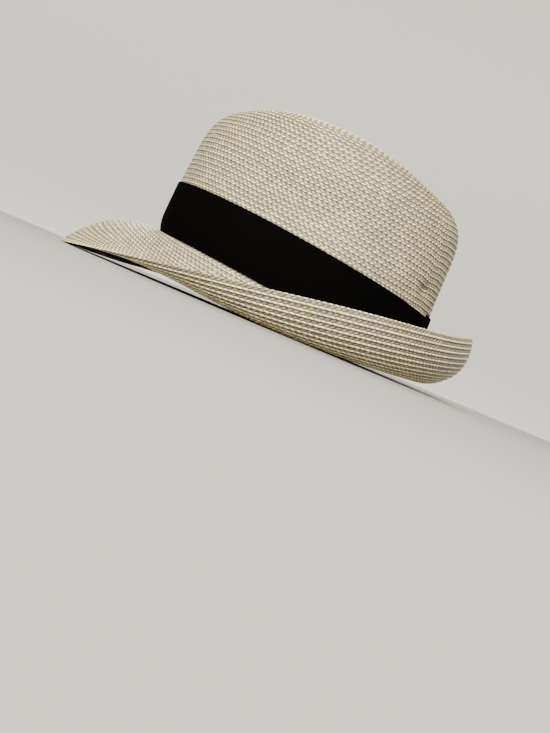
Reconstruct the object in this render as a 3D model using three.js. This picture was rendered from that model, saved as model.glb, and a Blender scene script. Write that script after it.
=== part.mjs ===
// A straw fedora: a hollow crown with a creased top, a brim that dips at the front and rolls up
// at the sides and back, and a ribbon band round the foot of the crown.
//
// Millimetres. +Z is up, the front of the hat faces -Y and the wearer's left is +X. The hat lies as
// it rests by itself on a level surface. The origin is on that surface, under the middle of its box.
import * as THREE from 'three';
import { mergeVertices } from 'three/addons/utils/BufferGeometryUtils.js';

// The sewn straw braid, the ribbon, and the clearance between pieces that touch
const STRAW = 2;
const RIBBON = 1.2;
const GAP = 0.3;

// The headline, where crown and brim meet: an oval that takes a 56 cm head inside the straw
const HEAD_LENGTH = 195;
const HEAD_WIDTH = 168;

// The brim at five directions round the oval, in degrees from the front. "foot" is the height of the
// headline there, "width" is along the straw, and "leave" and "rim" are the brim's slopes, in
// degrees, where it leaves the crown and at its edge.
const BRIM = [
  { around: 0, foot: 28.8, width: 71.7, leave: 17.7, rim: -62.8 },
  { around: 45, foot: 25.2, width: 60.8, leave: -49.8, rim: 2 },
  { around: 90, foot: 16, width: 73.1, leave: -84.8, rim: 70.2 },
  { around: 135, foot: 6.4, width: 67.9, leave: -63.1, rim: 105 },
  { around: 180, foot: 1.5, width: 66.7, leave: -31.3, rim: 111.1 },
];
const BRIM_CURL = 0.83; // below 1, the brim bends more near the crown than near its edge

// By itself the hat tips forward by this many degrees, until the brim's front edge touches the surface
const TIPPED = 1.43;

// The crown at the same directions. "lean" is how far its wall comes in lengthwise from the headline
// to the top, and "edge" is how sharp the edge of the top is, as the power of a superellipse.
const CROWN = [
  { around: 0, lean: 7.6, edge: 10.4 },
  { around: 45, lean: 10.2, edge: 8 },
  { around: 90, lean: 6.6, edge: 6.6 },
  { around: 135, lean: 1.5, edge: 8.3 },
  { around: 180, lean: -1.7, edge: 12.2 },
];
const SIDE_LEAN = 13.2; // the same for the two side walls
const LEAN_POWER = 1.3; // above 1, the wall is upright at its foot and leans more towards the top
const FOOT_TUCK = 2.5; // the ribbon draws the foot of the wall in by this
const TUCK_RISE = 0.14; // over this share of the crown's height

// The top is an arch from front to back, highest a little before the middle
const PEAK_HEIGHT = 134.5;
const PEAK_Y = -18.8;
const FRONT_FALL = 24.6; // fall over half the head's length
const BACK_FALL = 16;

// The lengthwise crease pressed into the top, wider towards the back
const CREASE_DEPTH = 20;
const CREASE_LENGTH = 164;
const CREASE_Y = 3;
const CREASE_WIDTH = 46;
const CREASE_FLARE = 0.12;
const CREASE_FADE = 1.5; // how fast it runs out at its ends

// The shallow hollow pressed into each side wall. "rise" is its share of the crown's height.
const PINCH = { around: 75, rise: 0.6, depth: 3.6, spanAround: 24, spanRise: 0.15 };

// The ribbon, and the end of it that laps over the rest at the back, from and to degrees round the hat
const BAND_WIDTH = 36;
const BAND_LIFT = 0.7;
const LAP = { from: 157, to: 196, step: 0.3, thick: 0.9, raised: 2 };

// How finely the shapes are divided
const DIRECTIONS = 72;
const BRIM_STEPS = 10;
const WALL_STEPS = 9;
const EDGE_STEPS = 6;
const TOP_STEPS = 7;
const BAND_STEPS = 4;
const EDGE_FROM = 0.86; // places on the crown's section where the edge of the top begins and ends
const EDGE_TO = 1.14;
const HALVINGS = 24;

const radians = THREE.MathUtils.degToRad;

// A column of a table with evenly spaced rows, carried smoothly round the hat by the cosine series
// that passes through them
function carried(table, column, theta) {
  const last = table.length - 1;
  const weight = (i) => (i === 0 || i === last ? 0.5 : 1);
  let sum = 0;
  for (let wave = 0; wave <= last; wave += 1) {
    let height = 0;
    table.forEach((row, i) => {
      height += weight(i) * row[column] * Math.cos(wave * radians(row.around));
    });
    sum += ((2 * weight(wave)) / last) * height * Math.cos(wave * theta);
  }
  return sum;
}

// Height of the headline, and of the crown's lower edge, which stands on the brim's inner margin
const headline = (theta) => carried(BRIM, 'foot', theta);
const crownFoot = (theta) => headline(theta) + STRAW / 2 + GAP;

// The bell of a dent or crease: 1 in the middle, fading to nothing
const bell = (distance, span) => Math.exp(-((distance / span) ** 2));

// A point of the crown's outer face: t is 0 at its foot, 1 at the top's edge, 2 in the top's middle
function crownPoint(theta, t) {
  const edge = carried(CROWN, 'edge', theta);
  const outward = Math.min(1, 2 - t);
  const upward = Math.min(1, t);
  const reach = outward / (outward ** edge + upward ** edge) ** (1 / edge);
  const rise = upward / (outward ** edge + upward ** edge) ** (1 / edge);

  const tuck = FOOT_TUCK * (1 - Math.max(0, 1 - rise / TUCK_RISE) ** 2);
  const turned = Math.abs(THREE.MathUtils.radToDeg(Math.atan2(Math.sin(theta), Math.cos(theta))));
  const pinch = PINCH.depth * bell(turned - PINCH.around, PINCH.spanAround)
    * bell(rise - PINCH.rise, PINCH.spanRise);
  const leaning = rise ** LEAN_POWER;
  const halfWidth = HEAD_WIDTH / 2 + tuck - pinch - SIDE_LEAN * leaning;
  const halfLength = HEAD_LENGTH / 2 + tuck - pinch - carried(CROWN, 'lean', theta) * leaning;
  const x = reach * halfWidth * Math.sin(theta);
  const y = -reach * halfLength * Math.cos(theta);

  const fall = y < PEAK_Y ? FRONT_FALL : BACK_FALL;
  const arch = PEAK_HEIGHT - fall * ((y - PEAK_Y) / (HEAD_LENGTH / 2)) ** 2;
  const along = Math.max(0, 1 - ((y - CREASE_Y) / (CREASE_LENGTH / 2)) ** 2);
  const creaseSpan = CREASE_WIDTH / 2 + CREASE_FLARE * y;
  const crease = CREASE_DEPTH * along ** CREASE_FADE * bell(x, creaseSpan) * rise;
  const z = crownFoot(theta) + rise * (arch - crownFoot(theta)) - crease;
  return new THREE.Vector3(x, y, z);
}

// The outward direction of the crown's face, and a point that stands off it by a distance
function crownNormal(theta, t) {
  const step = 1e-3;
  const acrossFace = crownPoint(theta + step, t).sub(crownPoint(theta - step, t));
  const upFace = crownPoint(theta, t + step).sub(crownPoint(theta, Math.max(0, t - step)));
  return acrossFace.cross(upFace).normalize();
}
function offCrown(theta, t, distance) {
  return crownPoint(theta, t).addScaledVector(crownNormal(theta, t), distance);
}

// The place on the crown's wall that is a given height above its foot, found by halving
function wallPlace(theta, height) {
  let low = 0;
  let high = EDGE_FROM;
  for (let i = 0; i < HALVINGS; i += 1) {
    const middle = (low + high) / 2;
    const below = crownPoint(theta, middle).z - crownFoot(theta) < height;
    low = below ? middle : low;
    high = below ? high : middle;
  }
  return low;
}

// A closed solid skinned over sections that go round the hat. Each section is a loop of points, or,
// on a solid with poles, a line whose two ends all the sections share.
function skin(sections, hasPoles) {
  const points = sections[0].length;
  const spans = hasPoles ? points - 1 : points;
  const index = [];
  sections.forEach((section, i) => {
    const here = i * points;
    const next = ((i + 1) % sections.length) * points;
    for (let j = 0; j < spans; j += 1) {
      const after = (j + 1) % points;
      if (!hasPoles || j < spans - 1) index.push(here + j, here + after, next + after);
      if (!hasPoles || j > 0) index.push(here + j, next + after, next + j);
    }
  });
  const geometry = new THREE.BufferGeometry().setFromPoints(sections.flat());
  geometry.setIndex(index);
  return mergeVertices(geometry);
}

// Evenly spaced numbers, both ends included
function spread(from, to, steps) {
  return Array.from({ length: steps + 1 }, (_, i) => from + ((to - from) * i) / steps);
}
const directions = spread(0, 2 * Math.PI, DIRECTIONS).slice(0, -1);

// Crown: the outer face from the middle of the top down to the foot, then up the inner face
function makeCrown() {
  const wall = spread(0, EDGE_FROM, WALL_STEPS);
  const edge = spread(EDGE_FROM, EDGE_TO, EDGE_STEPS).slice(1);
  const top = spread(EDGE_TO, 2, TOP_STEPS).slice(1, -1);
  const places = [...wall, ...edge, ...top];
  const middle = crownPoint(0, 2);
  const sections = directions.map((theta) => {
    const outer = places.map((t) => crownPoint(theta, t));
    const inner = places.map((t) => offCrown(theta, t, -STRAW));
    inner[0].z = outer[0].z;
    return [middle, ...outer.reverse(), ...inner, middle.clone().setZ(middle.z - STRAW)];
  });
  return skin(sections, true);
}

// Brim: a level margin under the crown's foot, then the curl out to the rim, with a face each side
function brimSection(theta) {
  const across = Math.sin(theta) * (HEAD_WIDTH / 2);
  const along = -Math.cos(theta) * (HEAD_LENGTH / 2);
  const outward = new THREE.Vector2(across / HEAD_WIDTH ** 2, along / HEAD_LENGTH ** 2).normalize();
  const leave = radians(carried(BRIM, 'leave', theta));
  const rim = radians(carried(BRIM, 'rim', theta));
  const step = carried(BRIM, 'width', theta) / BRIM_STEPS;

  const middle = [new THREE.Vector2(-STRAW, 0), new THREE.Vector2(0, 0)];
  for (let i = 0; i < BRIM_STEPS; i += 1) {
    const slope = leave + (rim - leave) * ((i + 0.5) / BRIM_STEPS) ** BRIM_CURL;
    const from = middle[middle.length - 1];
    middle.push(new THREE.Vector2(from.x + step * Math.cos(slope), from.y + step * Math.sin(slope)));
  }
  const face = (side) => middle.map((point, i) => {
    const before = middle[Math.max(0, i - 1)];
    const after = middle[Math.min(middle.length - 1, i + 1)];
    const tangent = after.clone().sub(before).normalize();
    const off = (side * STRAW) / 2;
    const out = point.x - tangent.y * off;
    const up = point.y + tangent.x * off;
    return new THREE.Vector3(across + outward.x * out, along + outward.y * out, headline(theta) + up);
  });
  return [...face(1), ...face(-1).reverse()];
}
const makeBrim = () => skin(directions.map(brimSection), false);

// Ribbon: a strip round the crown's foot, thicker and a little higher where its end laps over
function makeBand() {
  const lapEnds = [LAP.from, LAP.to].flatMap((end) => [radians(end - LAP.step), radians(end + LAP.step)]);
  const stops = [...directions, ...lapEnds].sort((a, b) => a - b);
  const sections = stops.map((theta) => {
    const lapped = theta > radians(LAP.from) && theta < radians(LAP.to);
    const upperEdge = BAND_LIFT + BAND_WIDTH + (lapped ? LAP.raised : 0);
    const places = spread(BAND_LIFT, upperEdge, BAND_STEPS).map((height) => wallPlace(theta, height));
    const outer = places.map((t) => offCrown(theta, t, GAP + RIBBON + (lapped ? LAP.thick : 0)));
    const inner = places.map((t) => offCrown(theta, t, GAP));
    return [...outer.reverse(), ...inner];
  });
  return skin(sections, false);
}

function piece(name, geometry, color, roughness) {
  const material = new THREE.MeshStandardMaterial({ color, roughness, metalness: 0 });
  const mesh = new THREE.Mesh(geometry, material);
  mesh.name = name;
  return mesh;
}

const hat = new THREE.Group();
hat.add(piece('crown', makeCrown(), 0xcfc3a6, 0.55));
hat.add(piece('brim', makeBrim(), 0xcbbfa2, 0.55));
hat.add(piece('hat_band', makeBand(), 0x0b0b0d, 0.8));

// Set the hat on its surface, with the origin under the middle of its box
hat.rotation.x = radians(TIPPED);
const box = new THREE.Box3().setFromObject(hat, true);
const centre = box.getCenter(new THREE.Vector3());
hat.position.set(-centre.x, -centre.y, -box.min.z);

export default hat;
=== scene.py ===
import math

import bpy
import numpy as np
from mathutils import Matrix, Vector


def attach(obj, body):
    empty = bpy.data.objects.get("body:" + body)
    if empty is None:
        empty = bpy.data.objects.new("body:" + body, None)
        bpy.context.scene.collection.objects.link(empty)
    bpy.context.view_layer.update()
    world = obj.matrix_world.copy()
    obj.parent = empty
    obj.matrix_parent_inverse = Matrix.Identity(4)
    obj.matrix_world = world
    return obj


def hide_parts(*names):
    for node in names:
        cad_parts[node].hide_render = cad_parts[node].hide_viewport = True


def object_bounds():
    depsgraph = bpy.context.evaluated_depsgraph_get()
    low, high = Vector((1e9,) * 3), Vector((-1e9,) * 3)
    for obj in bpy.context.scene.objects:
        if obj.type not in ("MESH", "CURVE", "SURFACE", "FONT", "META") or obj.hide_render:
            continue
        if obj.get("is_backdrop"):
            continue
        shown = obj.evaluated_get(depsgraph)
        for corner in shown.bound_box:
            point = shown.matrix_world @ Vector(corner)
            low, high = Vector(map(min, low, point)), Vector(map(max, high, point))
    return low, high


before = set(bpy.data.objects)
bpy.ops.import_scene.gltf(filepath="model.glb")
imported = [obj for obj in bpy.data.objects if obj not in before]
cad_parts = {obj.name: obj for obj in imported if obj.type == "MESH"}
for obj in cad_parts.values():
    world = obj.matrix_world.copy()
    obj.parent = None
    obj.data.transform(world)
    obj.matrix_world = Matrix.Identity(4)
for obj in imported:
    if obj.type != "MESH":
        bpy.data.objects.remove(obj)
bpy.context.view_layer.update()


# Crown: one long plait of glossy straw, sewn round and round from the middle of the top down to the
# headline. Each row is stitched over the edge of the next, so its lower edge stands proud. The cap was
# then pressed on a block, which gave it the crease in the top and a shallow hollow in each side.
STRAW = 0.002
SEAM_GAP = 0.0003
HEAD_LENGTH = 0.195
HEAD_WIDTH = 0.168
TIPPED = math.radians(1.43)
SETTLED_AT = np.array((0, 0.0112179, 0.0051647))
HEADLINE_HEIGHT = (0.0288, 0.0252, 0.016, 0.0064, 0.0015)

CROWN_LEAN = (0.0076, 0.0102, 0.0066, 0.0015, -0.0017)
CROWN_EDGE = (10.4, 8, 6.6, 8.3, 12.2)
SIDE_LEAN = 0.0132
LEAN_POWER = 1.3
FOOT_TUCK = 0.0025
TUCK_RISE = 0.14
PEAK_HEIGHT = 0.1345
PEAK_Y = -0.0188
FRONT_FALL = 0.0246
BACK_FALL = 0.016
CREASE_DEPTH = 0.02
CREASE_LENGTH = 0.164
CREASE_Y = 0.003
CREASE_WIDTH = 0.046
CREASE_FLARE = 0.12
CREASE_FADE = 1.5
HOLLOW_AROUND = 75
HOLLOW_RISE = 0.51
HOLLOW_DEPTH = 0.0068
HOLLOW_SPAN = (26, 0.12)

# Two small dents: degrees round from the front, share of the rise, depth, and how far each runs round and up
DENTS = ((150, 0.457, 0.0030, 5, 0.035), (122, 0.52, 0.0016, 7, 0.12))

CROWN_ROWS = 53
CROWN_COLUMNS = 240
CROWN_START = 0.45
SECTION_POINTS = 801
STITCH = 0.0036
ROW_WANDER = 0.07
WALL_SWAY = (0.0002, 0.00015)
MIDDLE_SUNK = 0.0004
SMOOTH_UNDER = math.radians(40)

# The ribbon presses the rows flatter where it runs round the crown
BAND_WIDTH = 0.036
BAND_LIFT = 0.0002
BAND_EASE = 0.004
PRESSED_RELIEF = 0.35

# One row of the plait in section, from where it comes out under the row before to its proud beaded edge
ROW_PLACES = np.array((0.02, 0.28, 0.56, 0.76, 0.95))
ROW_HEIGHTS = np.array((0.0, 0.36, 0.52, 1.0, 0.64))
FOOT_HEIGHT = 0.3
ROW_RELIEF = 0.0006
ROW_LEVEL = 0.6

# Rows on the wrong side of the straw are counted from here, which keeps the two sides apart in the finish
WRONG_SIDE = 200


def carried_round(values, theta):
    """Five values at 0, 45, 90, 135 and 180 degrees from the front, carried smoothly round the hat."""
    ends = np.array((0.5, 1, 1, 1, 0.5))
    stops = np.radians((0, 45, 90, 135, 180))
    total = np.zeros_like(theta)
    for wave in range(5):
        height = float(np.sum(ends * np.array(values) * np.cos(wave * stops)))
        total = total + ends[wave] / 2 * height * np.cos(wave * theta)
    return total


def settled(points):
    """Points of the upright hat, tipped forward to the way that it lies on its surface."""
    x, y, z = np.moveaxis(points, -1, 0)
    lying_y = y * math.cos(TIPPED) - z * math.sin(TIPPED)
    lying_z = y * math.sin(TIPPED) + z * math.cos(TIPPED)
    return np.stack((x, lying_y, lying_z), axis=-1) + SETTLED_AT


def bell(distance, span):
    """1 in the middle, falling away smoothly over the span."""
    return np.exp(-((distance / span) ** 2))


def ease(value, start, end):
    """0 before start, 1 after end, and a smooth way between them."""
    share = np.clip((value - start) / (end - start), 0, 1)
    return share * share * (3 - 2 * share)


def crown_foot(theta):
    """Height of the crown's lower edge, which stands on the brim's inner margin."""
    return carried_round(HEADLINE_HEIGHT, theta) + STRAW / 2 + SEAM_GAP


def crown_face(theta, t):
    """A point of the crown's outer face: t is 0 at its foot, 1 at the top's edge, 2 in the top's middle."""
    edge = carried_round(CROWN_EDGE, theta)
    outward = np.minimum(1, 2 - t)
    upward = np.minimum(1, t)
    corner = (outward ** edge + upward ** edge) ** (1 / edge)
    reach = outward / corner
    rise = upward / corner

    tuck = FOOT_TUCK * (1 - np.maximum(0, 1 - rise / TUCK_RISE) ** 2)
    turned = np.degrees(np.arctan2(np.sin(theta), np.cos(theta)))
    hollow_round = bell(np.abs(turned) - HOLLOW_AROUND, HOLLOW_SPAN[0])
    hollow = HOLLOW_DEPTH * hollow_round * bell(rise - HOLLOW_RISE, HOLLOW_SPAN[1])
    for dent_around, dent_rise, depth, wide, tall in DENTS:
        hollow = hollow + depth * bell(turned - dent_around, wide) * bell(rise - dent_rise, tall)
    leaning = rise ** LEAN_POWER
    half_width = HEAD_WIDTH / 2 + tuck - hollow - SIDE_LEAN * leaning
    half_length = HEAD_LENGTH / 2 + tuck - hollow - carried_round(CROWN_LEAN, theta) * leaning
    x = reach * half_width * np.sin(theta)
    y = -reach * half_length * np.cos(theta)

    fall = np.where(y < PEAK_Y, FRONT_FALL, BACK_FALL)
    arch = PEAK_HEIGHT - fall * ((y - PEAK_Y) / (HEAD_LENGTH / 2)) ** 2
    along = np.maximum(0, 1 - ((y - CREASE_Y) / (CREASE_LENGTH / 2)) ** 2)
    crease = CREASE_DEPTH * along ** CREASE_FADE * bell(x, CREASE_WIDTH / 2 + CREASE_FLARE * y) * rise
    z = crown_foot(theta) + rise * (arch - crown_foot(theta)) - crease
    return np.stack((x, y, z), axis=-1)


def crown_outward(theta, t):
    """The direction that the crown's outer face looks."""
    step = 1e-3
    nearest_middle = 1.9999
    above = crown_face(theta, np.minimum(t + step, nearest_middle))
    below = crown_face(theta, np.maximum(t - step, 0))
    around = crown_face(theta + step, t) - crown_face(theta - step, t)
    outward = np.cross(around, above - below)
    return outward / np.linalg.norm(outward, axis=-1, keepdims=True)


def crown_places(theta, row_number):
    """Where rows lie when they are spaced evenly along each line from the middle of the top to the foot."""
    section = np.linspace(2, 0, SECTION_POINTS)
    place = np.empty_like(row_number)
    for j in range(len(theta)):
        line = crown_face(np.full_like(section, theta[j]), section)
        length = np.concatenate(((0,), np.cumsum(np.linalg.norm(np.diff(line, axis=0), axis=1))))
        place[:, j] = np.interp(row_number[:, j] / CROWN_ROWS, length / length[-1], section)
    return place


def laid_grid(name, points):
    """A grid laid with ring k, column j at points[k, j], and the ring and column of each face corner."""
    rings, columns = points.shape[0] - 1, points.shape[1] - 1
    bpy.ops.object.select_all(action="DESELECT")
    bpy.ops.mesh.primitive_grid_add(x_subdivisions=columns, y_subdivisions=rings, size=2)
    laid = bpy.context.object
    laid.name = name
    mesh = laid.data
    mesh.name = name
    flat = np.empty(len(mesh.vertices) * 3)
    mesh.vertices.foreach_get("co", flat)
    flat = flat.reshape(-1, 3)
    column = np.rint((flat[:, 0] + 1) / 2 * columns).astype(int)
    ring = np.rint((flat[:, 1] + 1) / 2 * rings).astype(int)
    mesh.vertices.foreach_set("co", settled(points)[ring, column].ravel())
    mesh.update()
    corner = np.empty(len(mesh.loops), dtype=int)
    mesh.loops.foreach_get("vertex_index", corner)
    return laid, ring[corner], column[corner]


def sewn_braid(name, points, across, stitches, started):
    """A shell of plait rows. points[k, j] is ring k, column j, and across[k, j] counts rows; stitches[k] is
    the number of stitches round the hat after ring k, and started[k] the number sewn before it."""
    shell, ring, column = laid_grid(name, points)
    face_ring = np.repeat(ring.reshape(-1, 4).min(axis=1), 4)
    sewn = started[face_ring] + stitches[face_ring] * column / (points.shape[1] - 1)
    ring_row = across[face_ring, column]
    turned_over = np.abs(across[face_ring + 1, column] - ring_row) > WRONG_SIDE / 4
    row_at = np.where(turned_over, ring_row, across[ring, column])
    shell.data.uv_layers[0].name = "braid"
    shell.data.uv_layers["braid"].uv.foreach_set("vector", np.stack((sewn, row_at), axis=-1).ravel())

    bpy.ops.object.mode_set(mode="EDIT")
    bpy.ops.mesh.select_all(action="SELECT")
    bpy.ops.mesh.remove_doubles(threshold=1e-6)
    bpy.ops.mesh.select_all(action="DESELECT")
    bpy.ops.mesh.select_non_manifold()
    bpy.ops.mesh.fill_holes(sides=0)
    bpy.ops.mesh.select_all(action="SELECT")
    bpy.ops.mesh.normals_make_consistent(inside=False)
    bpy.ops.object.mode_set(mode="OBJECT")
    bpy.ops.object.shade_smooth_by_angle(angle=SMOOTH_UNDER)
    return shell


def ring_length(points):
    """Length of each ring, once round the hat."""
    return np.linalg.norm(np.diff(points, axis=1), axis=-1).sum(axis=1)


def stitches_round(points, rows):
    """Stitches in one round of each row, and half a stitch over, so that the next row's fall between them."""
    lengths = ring_length(points).reshape(rows, -1).mean(axis=1)
    return np.floor(lengths / STITCH) + 0.5


turn = np.linspace(0, 1, CROWN_COLUMNS + 1)
theta = math.pi + 2 * math.pi * turn
crown_across = (np.arange(CROWN_ROWS)[:, None] + ROW_PLACES[None, :]).ravel()
row_number = np.minimum(crown_across[:, None] + CROWN_START + turn[None, :], CROWN_ROWS)
wander = ROW_WANDER * np.sin(3 * theta + 0.5 * row_number)
row_number = row_number + wander * ease(CROWN_ROWS - row_number, 0, 3)

place = crown_places(theta, row_number)
around = np.broadcast_to(theta, place.shape)
face = crown_face(around, place)
band_top = BAND_LIFT + BAND_WIDTH
clear_of_band = ease(face[:, :, 2] - crown_foot(around), band_top, band_top + BAND_EASE)
relief = ROW_RELIEF * (PRESSED_RELIEF + (1 - PRESSED_RELIEF) * clear_of_band)
height = np.where(row_number >= CROWN_ROWS, FOOT_HEIGHT, np.tile(ROW_HEIGHTS, CROWN_ROWS)[:, None])
sway = WALL_SWAY[0] * np.sin(4 * around + 0.31 * row_number)
sway = sway + WALL_SWAY[1] * np.sin(7 * around - 0.23 * row_number)
outer = face + crown_outward(around, place) * (relief * (height - ROW_LEVEL) + sway)[:, :, None]

# The inner face is plain: one ring to each row, from the foot up to the middle of the top
inner_rows = np.arange(CROWN_ROWS, 0, -1.0)
inner_place = crown_places(theta, np.repeat(inner_rows[:, None], CROWN_COLUMNS + 1, axis=1))
inner_around = np.broadcast_to(theta, inner_place.shape)
inner = crown_face(inner_around, inner_place) - STRAW * crown_outward(inner_around, inner_place)
inner[0, :, 2] = crown_foot(theta)

middle = crown_face(np.array(0.0), np.array(2.0))
top_middle = np.broadcast_to(middle - np.array((0, 0, MIDDLE_SUNK)), (1, CROWN_COLUMNS + 1, 3))
under_middle = np.broadcast_to(middle - np.array((0, 0, STRAW)), (1, CROWN_COLUMNS + 1, 3))
crown_points = np.concatenate((top_middle, outer, inner, under_middle))
crown_across = np.concatenate(((0.0,), crown_across, WRONG_SIDE + inner_rows, (WRONG_SIDE,)))
crown_across = np.repeat(crown_across[:, None], CROWN_COLUMNS + 1, axis=1)
crown_across[0] = -CROWN_START - turn

round_length = stitches_round(outer, CROWN_ROWS)
sewn_before = np.concatenate(((0,), np.cumsum(round_length)[:-1]))
row_stitches = np.repeat(round_length, len(ROW_PLACES))
row_started = np.repeat(sewn_before, len(ROW_PLACES))
inner_stitches = ring_length(inner) / STITCH
crown_stitches = np.concatenate((round_length[:1], row_stitches, inner_stitches, (1.0,)))
crown_started = np.concatenate(((0.0,), row_started, np.cumsum(inner_stitches), (0.0,)))
crown_points = crown_points[:, ::-1]
crown_across = crown_across[:, ::-1]
crown = sewn_braid("crown_braid", crown_points, crown_across, crown_stitches, crown_started)

# Each row has a lane of slanting strands and, along its proud edge, a lane of glossy beads
LANE_SPLIT = 0.58
STRAND_SLANT = 0.5
BEAD_SLANT = -0.4
STRAND_GAP = 0.3
STITCH_PEAK = 1.32
STRAND_ROUGH = 0.6
BEAD_ROUGH = 0.18
STITCH_RELIEF = 0.0009
# Straw tones from dark to light: the dark end is painted shade between straws and in the lines between rows,
# the light end a painted highlight on the straws' backs
STRAW_TONES = (
    (0.0, (0.09, 0.085, 0.074)),
    (0.28, (0.165, 0.153, 0.127)),
    (0.52, (0.29, 0.26, 0.188)),
    (0.78, (0.60, 0.51, 0.30)),
    (1.0, (1.0, 0.87, 0.47)),
)
WARM_TONES = ((0.45, (1.0, 1.0, 1.0)), (1.0, (1.0, 0.96, 0.78)))
SHADE_LINE_TONES = ((0.0, (1.0, 1.0, 1.0)), (1.0, (0.0, 0.06, 0.2)))
PATCH_TONES = ((0.32, (0.975, 0.975, 0.975)), (0.68, (1.01, 1.005, 0.98)))

# How near each place across a row is to the painted shade line between two rows, or to the faint painted
# shade line between its lanes
NEAR_SHADE_LINE = (
    (0.0, 1.0), (0.10, 0.75), (0.30, 0.0), (0.50, 0.0), (0.57, 0.18),
    (0.66, 0.0), (0.86, 0.0), (0.95, 0.9), (1.0, 1.0),
)

# Depth of the painted shade line between rows, lightness of the strands and of the beads, and lightness of
# the gaps between beads: beads painted lighter than strands as painted highlight, gaps darker as painted
# shade
CROWN_OUTSIDE = (0.42, 0.56, 0.94, 0.3)
CROWN_INSIDE = (0.2, 0.6, 0.8, 0.3)


def straw_finish(name, right_side, wrong_side):
    """Cream straw with painted highlight and shade, with four values for each of its sides: painted shade
    line depth, strands, beads and bead gaps.
    """
    finish = bpy.data.materials.new(name)
    finish.use_nodes = True
    nodes = finish.node_tree.nodes
    links = finish.node_tree.links
    shader = nodes["Principled BSDF"]

    def sum_of(operation, *values):
        node = nodes.new("ShaderNodeMath")
        node.operation = operation
        for socket, value in zip(node.inputs, values):
            if isinstance(value, (int, float)):
                socket.default_value = value
            else:
                links.new(value, socket)
        return node.outputs[0]

    def between(share, low, high):
        return sum_of("ADD", sum_of("MULTIPLY", share, high - low), low)

    def ramp(share, stops):
        node = nodes.new("ShaderNodeValToRGB")
        elements = node.color_ramp.elements
        elements[0].position, elements[1].position = stops[0][0], stops[-1][0]
        elements[0].color, elements[1].color = stops[0][1] + (1,), stops[-1][1] + (1,)
        for position, colour in stops[1:-1]:
            elements.new(position).color = colour + (1,)
        links.new(share, node.inputs["Fac"])
        return node.outputs["Color"]

    def product(first, second):
        node = nodes.new("ShaderNodeVectorMath")
        node.operation = "MULTIPLY"
        links.new(first, node.inputs[0])
        links.new(second, node.inputs[1])
        return node.outputs[0]

    braid = nodes.new("ShaderNodeUVMap")
    braid.uv_map = "braid"
    parts = nodes.new("ShaderNodeSeparateXYZ")
    links.new(braid.outputs["UV"], parts.inputs[0])
    along, rows = parts.outputs[0], parts.outputs[1]
    row = sum_of("FLOOR", rows)
    across = sum_of("FRACT", rows)
    edge = sum_of("GREATER_THAN", across, LANE_SPLIT)
    past_start = sum_of("SUBTRACT", across, between(edge, 0.0, LANE_SPLIT))
    in_lane = sum_of("DIVIDE", past_start, between(edge, LANE_SPLIT, 1 - LANE_SPLIT))
    wrong = sum_of("GREATER_THAN", rows, WRONG_SIDE * 0.75)
    shade_line_depth = between(wrong, right_side[0], wrong_side[0])
    strand_light = between(wrong, right_side[1], wrong_side[1])
    bead_light = between(wrong, right_side[2], wrong_side[2])
    bead_gap = between(wrong, right_side[3], wrong_side[3])

    # One straw to a stitch in each lane, slanting opposite ways and half a stitch apart
    slant = sum_of("MULTIPLY", sum_of("SUBTRACT", in_lane, 0.5), between(edge, STRAND_SLANT, BEAD_SLANT))
    strand = sum_of("ADD", sum_of("ADD", along, slant), between(edge, 0.5, 0.0))
    stitch = sum_of("FLOOR", strand)
    from_middle = sum_of("ABSOLUTE", between(sum_of("FRACT", strand), -1.0, 1.0))
    from_lane = sum_of("ABSOLUTE", between(in_lane, -1.0, 1.0))
    round_long = sum_of("SUBTRACT", 1.0, sum_of("POWER", from_middle, 2.0))
    # Painted highlight and shade: each straw is painted lightest on its back and darker at its ends, in the
    # gaps between straws and towards its lane's edges
    lane_shade_falloff = sum_of("SUBTRACT", 1.0, sum_of("POWER", from_lane, 2.5))
    peak = sum_of("POWER", round_long, 2.0)
    wider_gap = sum_of("MULTIPLY", edge, sum_of("SUBTRACT", bead_gap, STRAND_GAP))
    gap = sum_of("ADD", STRAND_GAP, wider_gap)
    painted_stitch_light = sum_of("ADD", gap, sum_of("MULTIPLY", peak, sum_of("SUBTRACT", STITCH_PEAK, gap)))
    painted_stitch_light = sum_of("MULTIPLY", painted_stitch_light, between(lane_shade_falloff, 0.6, 1.0))

    # No two stitches have quite the same tone, and fine fibres run along each
    names = nodes.new("ShaderNodeCombineXYZ")
    for socket, value in zip(names.inputs, (stitch, row, edge)):
        links.new(value, socket)
    tone = nodes.new("ShaderNodeTexWhiteNoise")
    tone.noise_dimensions = "3D"
    links.new(names.outputs[0], tone.inputs["Vector"])
    chance = nodes.new("ShaderNodeSeparateColor")
    links.new(tone.outputs["Color"], chance.inputs[0])
    grain_place = nodes.new("ShaderNodeCombineXYZ")
    links.new(sum_of("MULTIPLY", strand, 5.0), grain_place.inputs[0])
    links.new(sum_of("MULTIPLY", rows, 13.0), grain_place.inputs[1])
    grain = nodes.new("ShaderNodeTexNoise")
    grain.inputs["Scale"].default_value = 1.0
    grain.inputs["Detail"].default_value = 2.0
    links.new(grain_place.outputs[0], grain.inputs["Vector"])

    # Painted highlight and shade: the beads' lane is painted lighter than the strands' lane, which lies in
    # the beads' shade
    beads_painted_brighter = sum_of("MULTIPLY", edge, sum_of("SUBTRACT", bead_light, strand_light))
    light = sum_of("MULTIPLY", painted_stitch_light, sum_of("ADD", strand_light, beads_painted_brighter))
    uneven = between(sum_of("POWER", chance.outputs[0], 2.0), -1.0, 1.2)
    uneven = sum_of("MULTIPLY", uneven, between(edge, 0.2, 0.16))
    light = sum_of("MULTIPLY", light, sum_of("ADD", 1.0, uneven))
    light = sum_of("ADD", light, between(grain.outputs["Fac"], -0.3, 0.3))
    colour = ramp(light, STRAW_TONES)
    warm = ramp(chance.outputs[1], WARM_TONES)
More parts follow.
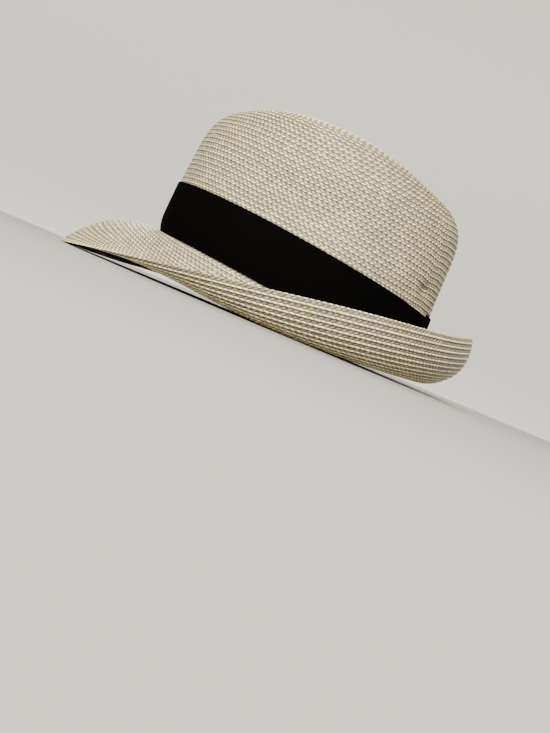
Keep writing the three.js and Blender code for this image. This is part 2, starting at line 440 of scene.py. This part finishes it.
    # Painted shade: a dark line where each row comes out from under the row before and under its proud edge,
    # and a faint one between the lanes
    near_shade_line = ramp(across, [(position, (near, near, near)) for position, near in NEAR_SHADE_LINE])
    painted_groove_shade = ramp(sum_of("MULTIPLY", near_shade_line, shade_line_depth), SHADE_LINE_TONES)

    # Patches of the straw are warmer or greyer
    where = nodes.new("ShaderNodeTexCoord")
    patches = nodes.new("ShaderNodeTexNoise")
    patches.inputs["Scale"].default_value = 60.0
    patches.inputs["Detail"].default_value = 3.0
    links.new(where.outputs["Object"], patches.inputs["Vector"])
    tint = ramp(patches.outputs["Fac"], PATCH_TONES)
    links.new(product(product(colour, warm), product(painted_groove_shade, tint)), shader.inputs["Base Color"])

    # The beads are glossiest on their backs. The strands lie like tiles, each rising out from under the next
    gloss = sum_of("MULTIPLY", between(edge, 0.6, 1.0), round_long)
    links.new(between(gloss, STRAND_ROUGH, BEAD_ROUGH), shader.inputs["Roughness"])
    shader.inputs["Specular IOR Level"].default_value = 0.6
    flat_wide = sum_of("SUBTRACT", 1.0, sum_of("POWER", from_lane, 4.0))
    surface = sum_of("MULTIPLY", sum_of("MULTIPLY", round_long, flat_wide), between(edge, 0.5, 0.44))
    fibres = sum_of("MULTIPLY", grain.outputs["Fac"], between(edge, 0.12, 0.04))
    rising = sum_of("SUBTRACT", 1.0, sum_of("FRACT", strand))
    tiled = sum_of("MULTIPLY", rising, between(edge, 0.4, 0.0))
    bump = nodes.new("ShaderNodeBump")
    bump.inputs["Strength"].default_value = 1.0
    bump.inputs["Distance"].default_value = STITCH_RELIEF
    links.new(sum_of("ADD", sum_of("ADD", surface, fibres), tiled), bump.inputs["Height"])
    links.new(bump.outputs["Normal"], shader.inputs["Normal"])
    return finish


crown.data.materials.append(straw_finish("crown_straw", CROWN_OUTSIDE, CROWN_INSIDE))
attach(crown, "root")
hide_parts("crown")


# Brim: the same plait, sewn on round the headline row by row out to the edge, where the last row is the
# rim and its end is tapered away under the row before. It was pressed to dip at the front and roll up at
# the sides and back.
BRIM_WIDTH = (0.0717, 0.0608, 0.0731, 0.0679, 0.0667)
BRIM_LEAVE = (17.7, -49.8, -84.8, -63.1, -31.3)
BRIM_RIM = (-62.8, 2, 70.2, 105, 111.1)
BRIM_CURL = 0.83
CURL_STEPS = 60
BRIM_ROWS = 19
BRIM_COLUMNS = 320
ROW_CHANGE = (math.radians(205), math.radians(265))
BRIM_RELIEF = 0.0008
BRIM_WAVE = 0.0002
RIM_HEIGHT = 0.8
RIM_OUT = 0.0006
UNDER_END_HEIGHT = 0.3
MARGIN_ABOVE = 0.0002
MARGIN_BELOW = 0.0005

# Underneath is the straw's right side, with its rows counted down from here
RIGHT_SIDE = 100
# Depth of the painted shade line between rows, and lightness of strands, beads and bead gaps, for the
# underside and the upper side
BRIM_UNDERSIDE = (0.56, 0.46, 1.04, 0.68)
BRIM_UPPER_SIDE = (0.42, 0.56, 0.94, 0.4)


def brim_section(theta, share):
    """The brim's middle at a share of its width, the direction that its upper face looks, and the way out."""
    leave = np.radians(carried_round(BRIM_LEAVE, theta))
    rim = np.radians(carried_round(BRIM_RIM, theta))
    steps = (np.arange(CURL_STEPS) + 0.5) / CURL_STEPS
    slopes = leave[..., None] + (rim - leave)[..., None] * (share[..., None] * steps) ** BRIM_CURL
    reach = carried_round(BRIM_WIDTH, theta) * share
    out = reach * np.cos(slopes).mean(axis=-1)
    up = reach * np.sin(slopes).mean(axis=-1)
    slope = leave + (rim - leave) * share ** BRIM_CURL

    x = np.sin(theta) * HEAD_WIDTH / 2
    y = -np.cos(theta) * HEAD_LENGTH / 2
    away = np.stack((x / HEAD_WIDTH ** 2, y / HEAD_LENGTH ** 2), axis=-1)
    away = away / np.linalg.norm(away, axis=-1, keepdims=True)
    point = np.stack((x, y, carried_round(HEADLINE_HEIGHT, theta) + up), axis=-1)
    point[..., :2] += away * out[..., None]
    upward = np.concatenate((-away * np.sin(slope)[..., None], np.cos(slope)[..., None]), axis=-1)
    outward = np.concatenate((away * np.cos(slope)[..., None], np.sin(slope)[..., None]), axis=-1)
    return point, upward, outward


turn = np.linspace(0, 1, BRIM_COLUMNS + 1)
theta = 2 * math.pi * turn
brim_across = (np.arange(-1, BRIM_ROWS)[:, None] + ROW_PLACES[None, :]).ravel()
row_number = np.clip(brim_across[:, None] + ease(theta, *ROW_CHANGE)[None, :], 0, BRIM_ROWS)
around = np.broadcast_to(theta, row_number.shape)
point, upward = brim_section(around, row_number / BRIM_ROWS)[:2]
height = np.where(row_number >= BRIM_ROWS, RIM_HEIGHT, np.tile(ROW_HEIGHTS, BRIM_ROWS + 1)[:, None])
height = np.where(row_number <= 0, 0.0, height)
wave = BRIM_WAVE * np.sin(5 * around + 0.7 * row_number)
upper = point + upward * (STRAW / 2 + ROW_RELIEF * (height - ROW_LEVEL) + wave)[:, :, None]

# Underneath, it is the inner edge of each row that stands proud
under_across = (np.arange(-1, BRIM_ROWS)[:, None] + 1 - ROW_PLACES[None, ::-1]).ravel()
under_height = np.tile(ROW_HEIGHTS[::-1], BRIM_ROWS + 1)
under_number = np.clip(under_across[:, None] + ease(theta, *ROW_CHANGE)[None, :], 0, BRIM_ROWS)
point, upward = brim_section(around, under_number / BRIM_ROWS)[:2]
at_end = (under_number >= BRIM_ROWS) | (under_number <= 0)
height = np.where(at_end, UNDER_END_HEIGHT, under_height[:, None])
wave = BRIM_WAVE + BRIM_WAVE * np.sin(5 * around + 0.7 * under_number)
lower = point - upward * (STRAW / 2 + BRIM_RELIEF * (height - 1) - wave)[:, :, None]

point, upward, outward = brim_section(theta[None, :], np.ones((1, BRIM_COLUMNS + 1)))
rim = point + outward * RIM_OUT
margin = brim_section(theta[None, :], np.zeros((1, BRIM_COLUMNS + 1)))[0]
margin[..., 0] -= STRAW * np.sin(theta)
margin[..., 1] += STRAW * np.cos(theta)
margin_upper = margin + np.array((0, 0, STRAW / 2 + MARGIN_ABOVE))
margin_lower = margin - np.array((0, 0, STRAW / 2 + MARGIN_BELOW))
brim_points = np.concatenate((margin_upper, upper, rim, lower[::-1], margin_lower, margin_upper))


def from_margin_round(above):
    """Values of the upper rows, carried from the margin over the rim and back underneath to the margin."""
    beneath = np.concatenate((above[::-1][1:], above[:1]))
    return np.concatenate((above[:1], above, above[-1:], beneath, above[:2]))


round_length = stitches_round(upper, BRIM_ROWS + 1)
sewn_before = np.concatenate(((0,), np.cumsum(round_length)[:-1]))
brim_stitches = from_margin_round(np.repeat(round_length, len(ROW_PLACES)))
brim_started = from_margin_round(np.repeat(sewn_before, len(ROW_PLACES)))
margin_row = (WRONG_SIDE - 0.9,)
rim_row = (WRONG_SIDE + BRIM_ROWS - 0.25,)
under_rows = RIGHT_SIDE - under_across[::-1]
last_rows = (RIGHT_SIDE + 1, RIGHT_SIDE + 1)
brim_across = np.concatenate((margin_row, WRONG_SIDE + brim_across, rim_row, under_rows, last_rows))
brim_across = np.repeat(brim_across[:, None], BRIM_COLUMNS + 1, axis=1)
brim = sewn_braid("brim_braid", brim_points, brim_across, brim_stitches, brim_started)
brim.data.materials.append(straw_finish("brim_straw", BRIM_UNDERSIDE, BRIM_UPPER_SIDE))
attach(brim, "root")
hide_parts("brim")


# Hat band: a length of black ribbed ribbon, drawn tight round the foot of the crown and tacked to it. Its
# end is folded under and laps over its start at the back, a little higher than the rest.
RIBBON = 0.0006
RIBBON_CLEAR = 0.0004
RIBBON_COLUMNS = 600
RIBBON_STEPS = 14
RIBBON_WAVE = 0.0002
LAP_FROM = math.radians(157)
LAP_TO = math.radians(196)
LAP_RAISED = 0.002
LAP_CLEAR = 0.0002
LAP_BEGINS = math.radians(22)
LAP_COVERS = math.radians(2)
FOLD_BEGINS = 0.012 / 0.65
FOLD_COVERS = 0.006 / 0.65
FOLD_THICK = 0.0004
HIGHEST_PLACE = 0.86
HALVINGS = 24
RIB_SCALE = 360.0
RIB_DEPTH = 0.0003
RIB_SHADE = (0.0001, 0.0001, 0.0001, 1)
RIB_BLACK = (0.0028, 0.0027, 0.0028, 1)

share = np.linspace(0, 1, RIBBON_COLUMNS + 1)
ribbon_theta = LAP_TO + (LAP_FROM - 2 * math.pi - LAP_TO) * share
back_at_start = 2 * math.pi - LAP_TO
over = ease(-ribbon_theta, back_at_start - LAP_BEGINS, back_at_start - LAP_COVERS)
fold = ease(share, 1 - FOLD_BEGINS, 1 - FOLD_COVERS)
across_share = np.linspace(0, 1, RIBBON_STEPS + 1)
around = np.broadcast_to(ribbon_theta, (RIBBON_STEPS + 1, RIBBON_COLUMNS + 1))

# Each line of the ribbon keeps its height above the crown's foot, found by halving
wanted = BAND_LIFT + BAND_WIDTH * across_share[:, None] + LAP_RAISED * over[None, :] * across_share[:, None]
low = np.zeros_like(around)
high = np.full_like(around, HIGHEST_PLACE)
for halving in range(HALVINGS):
    half = (low + high) / 2
    below = crown_face(around, half)[:, :, 2] - crown_foot(around) < wanted
    low = np.where(below, half, low)
    high = np.where(below, high, half)
stand_off = RIBBON_CLEAR + RIBBON / 2 + (RIBBON + LAP_CLEAR) * over + FOLD_THICK * fold
stand_off = stand_off[None, :] + RIBBON_WAVE * np.sin(6 * around) * across_share[:, None]
ribbon_points = crown_face(around, low) + crown_outward(around, low) * stand_off[:, :, None]
ribbon_length = ring_length(ribbon_points).mean()

ribbon, ring, column = laid_grid("band_ribbon", ribbon_points)
weave_along = column / RIBBON_COLUMNS * ribbon_length
weave_across = ring / RIBBON_STEPS * BAND_WIDTH
ribbon.data.uv_layers[0].name = "weave"
weave = np.stack((weave_along, weave_across), axis=-1)
ribbon.data.uv_layers["weave"].uv.foreach_set("vector", weave.ravel())
bpy.ops.object.modifier_add(type="SOLIDIFY")
ribbon.modifiers["Solidify"].thickness = RIBBON
ribbon.modifiers["Solidify"].offset = 0
bpy.ops.object.modifier_apply(modifier="Solidify")
bpy.ops.object.mode_set(mode="EDIT")
bpy.ops.mesh.select_all(action="SELECT")
bpy.ops.mesh.normals_make_consistent(inside=False)
bpy.ops.object.mode_set(mode="OBJECT")
bpy.ops.object.shade_smooth_by_angle(angle=SMOOTH_UNDER)


def ribbon_finish():
    """Black ribbon with fine ribs across it."""
    finish = bpy.data.materials.new("black_ribbon")
    finish.use_nodes = True
    nodes = finish.node_tree.nodes
    links = finish.node_tree.links
    shader = nodes["Principled BSDF"]
    weave = nodes.new("ShaderNodeUVMap")
    weave.uv_map = "weave"
    ribs = nodes.new("ShaderNodeTexWave")
    ribs.wave_type = "BANDS"
    ribs.bands_direction = "X"
    ribs.inputs["Scale"].default_value = RIB_SCALE
    ribs.inputs["Distortion"].default_value = 0.4
    links.new(weave.outputs["UV"], ribs.inputs["Vector"])
    tone = nodes.new("ShaderNodeValToRGB")
    tone.color_ramp.elements[0].color = RIB_SHADE
    tone.color_ramp.elements[1].color = RIB_BLACK
    links.new(ribs.outputs["Fac"], tone.inputs["Fac"])
    links.new(tone.outputs["Color"], shader.inputs["Base Color"])
    bump = nodes.new("ShaderNodeBump")
    bump.inputs["Strength"].default_value = 0.5
    bump.inputs["Distance"].default_value = RIB_DEPTH
    links.new(ribs.outputs["Fac"], bump.inputs["Height"])
    links.new(bump.outputs["Normal"], shader.inputs["Normal"])
    shader.inputs["Roughness"].default_value = 0.85
    shader.inputs["IOR"].default_value = 1.1
    shader.inputs["Specular IOR Level"].default_value = 0.1
    return finish


ribbon.data.materials.append(ribbon_finish())
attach(ribbon, "root")
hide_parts("hat_band")


# Studio floor: a seamless sweep of pale paper, flat under the hat and turned up into a wall all round, so
# that no hard horizon shows. It is paler further out, dimmer at the sides and on the side of the camera,
# and lit a little from within behind the hat.
FLOOR_RADIUS = 1.3
FLAT_RADIUS = 1.2
COVE = 0.9
COVE_STEPS = 12
WALL_STEPS = 2
WALL_STEP = 0.4
PAPER_REACH = 2.5
PAPER_TONES = (
    (0.20, (0.25, 0.248, 0.241, 1)),
    (0.36, (0.45, 0.443, 0.42, 1)),
    (0.50, (0.70, 0.688, 0.646, 1)),
)
PAPER_DIM = (0.9, 1.8, 1.0, 0.6)
PAPER_GLOW = (-0.5, -1.5, 0.0, 0.28)
GLOW_COLOUR = (1.0, 0.99, 0.955, 1)

bpy.ops.object.select_all(action="DESELECT")
bpy.ops.mesh.primitive_circle_add(vertices=128, radius=FLAT_RADIUS, fill_type="NGON")
floor = bpy.context.object
floor.name = "studio_floor"
bpy.ops.object.mode_set(mode="EDIT")
bpy.ops.mesh.select_all(action="SELECT")
bpy.ops.mesh.region_to_loop()
reached = FLAT_RADIUS
risen = 0.0
for step in range(COVE_STEPS + WALL_STEPS + 1):
    bend = math.radians(90) * min(step, COVE_STEPS) / COVE_STEPS
    wide = FLOOR_RADIUS + COVE * math.sin(bend)
    tall = COVE * (1 - math.cos(bend)) + max(0, step - COVE_STEPS) * WALL_STEP
    bpy.ops.mesh.extrude_edges_move(TRANSFORM_OT_translate={"value": (0, 0, tall - risen)})
    bpy.ops.transform.resize(value=(wide / reached, wide / reached, 1), center_override=(0, 0, 0))
    reached = wide
    risen = tall
bpy.ops.mesh.select_all(action="SELECT")
bpy.ops.mesh.normals_make_consistent(inside=True)
bpy.ops.object.mode_set(mode="OBJECT")
bpy.ops.object.shade_smooth()

paper = bpy.data.materials.new("studio_paper")
paper.use_nodes = True
nodes = paper.node_tree.nodes
links = paper.node_tree.links
shader = nodes["Principled BSDF"]


def smooth_range(value, limits):
    """A smooth change from limits[2] to limits[3] as the value goes from limits[0] to limits[1]."""
    node = nodes.new("ShaderNodeMapRange")
    node.interpolation_type = "SMOOTHSTEP"
    for socket, limit in zip(("From Min", "From Max", "To Min", "To Max"), limits):
        node.inputs[socket].default_value = limit
    links.new(value, node.inputs["Value"])
    return node.outputs["Result"]


where = nodes.new("ShaderNodeTexCoord")
away = nodes.new("ShaderNodeVectorMath")
away.operation = "LENGTH"
links.new(where.outputs["Object"], away.inputs[0])
reach = nodes.new("ShaderNodeMath")
reach.operation = "DIVIDE"
reach.inputs[1].default_value = PAPER_REACH
links.new(away.outputs["Value"], reach.inputs[0])
paler = nodes.new("ShaderNodeValToRGB")
tones = paler.color_ramp.elements
tones[0].position, tones[0].color = PAPER_TONES[0]
tones[1].position, tones[1].color = PAPER_TONES[2]
tones.new(PAPER_TONES[1][0]).color = PAPER_TONES[1][1]
links.new(reach.outputs[0], paler.inputs["Fac"])
split = nodes.new("ShaderNodeSeparateXYZ")
links.new(where.outputs["Object"], split.inputs[0])
aside = nodes.new("ShaderNodeMath")
aside.operation = "ABSOLUTE"
links.new(split.outputs[1], aside.inputs[0])
off_the_back = nodes.new("ShaderNodeMath")
off_the_back.operation = "MAXIMUM"
links.new(aside.outputs[0], off_the_back.inputs[0])
links.new(split.outputs[0], off_the_back.inputs[1])
shade = nodes.new("ShaderNodeVectorMath")
shade.operation = "SCALE"
links.new(paler.outputs["Color"], shade.inputs[0])
links.new(smooth_range(off_the_back.outputs[0], PAPER_DIM), shade.inputs["Scale"])
links.new(shade.outputs[0], shader.inputs["Base Color"])
shader.inputs["Roughness"].default_value = 0.9
shader.inputs["Emission Color"].default_value = GLOW_COLOUR
links.new(smooth_range(split.outputs[0], PAPER_GLOW), shader.inputs["Emission Strength"])
floor.data.materials.append(paper)
floor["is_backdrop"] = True


# Light: a soft box over the camera, a little towards the hat's front, and a weaker one behind the hat that
# keeps its far side from going dark. The pale room gives the rest.
HAT_MIDDLE = (0, 0, 0.06)
KEY_PLACE = (1.58, -0.32, 1.0)
KEY_COLOUR = (1.0, 0.945, 0.835)
BACK_PLACE = (-1.7, -0.1, 1.4)
BACK_COLOUR = (1.0, 0.97, 0.92)
BACK_SPREAD = math.radians(100)
ROOM_COLOUR = (0.92, 0.96, 1.0, 1)


def soft_box(name, place, wide, tall, power, colour, spread):
    """A rectangular lamp that faces the hat."""
    lamp = bpy.data.lights.new(name, "AREA")
    lamp.shape = "RECTANGLE"
    lamp.size = wide
    lamp.size_y = tall
    lamp.energy = power
    lamp.color = colour
    lamp.spread = spread
    box = bpy.data.objects.new(name, lamp)
    bpy.context.scene.collection.objects.link(box)
    box.location = place
    box.rotation_euler = (Vector(HAT_MIDDLE) - Vector(place)).to_track_quat("-Z", "Y").to_euler()


soft_box("key_light", KEY_PLACE, 0.7, 0.7, 118, KEY_COLOUR, math.pi)
soft_box("back_light", BACK_PLACE, 1.0, 0.8, 17, BACK_COLOUR, BACK_SPREAD)
room = bpy.data.worlds.new("room")
room.use_nodes = True
room.node_tree.nodes["Background"].inputs["Color"].default_value = ROOM_COLOUR
room.node_tree.nodes["Background"].inputs["Strength"].default_value = 0.1
bpy.context.scene.world = room


# Camera: at the hat's left side, just above the floor and about 0.62 m away, turned about its own axis as
# the hat is tipped in the picture. The lens is given by its focal length in lines of a picture 733 tall.
CAMERA_PLACE = Vector((0.62463, 0.02093, 0.005))
CAMERA_YAW = math.radians(0.2446)
CAMERA_PITCH = math.radians(-2.6301)
CAMERA_ROLL = math.radians(22.8714)
SENSOR = 36
FOCAL_LINES = 875
PICTURE_LINES = 733

ahead = Vector((
    -math.cos(CAMERA_YAW) * math.cos(CAMERA_PITCH),
    math.sin(CAMERA_YAW) * math.cos(CAMERA_PITCH),
    math.sin(CAMERA_PITCH),
))
level = Vector((math.sin(CAMERA_YAW), math.cos(CAMERA_YAW), 0))
upright = level.cross(ahead)
picture_x = level * math.cos(CAMERA_ROLL) + upright * math.sin(CAMERA_ROLL)
picture_y = upright * math.cos(CAMERA_ROLL) - level * math.sin(CAMERA_ROLL)
lens = bpy.data.cameras.new("camera")
lens.sensor_width = SENSOR
lens.lens = SENSOR * FOCAL_LINES / PICTURE_LINES
lens.clip_start = 0.002
camera = bpy.data.objects.new("camera", lens)
bpy.context.scene.collection.objects.link(camera)
turned = Matrix((picture_x, picture_y, -ahead)).transposed()
camera.matrix_world = Matrix.Translation(CAMERA_PLACE) @ turned.to_4x4()
bpy.context.scene.camera = camera

low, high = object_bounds()
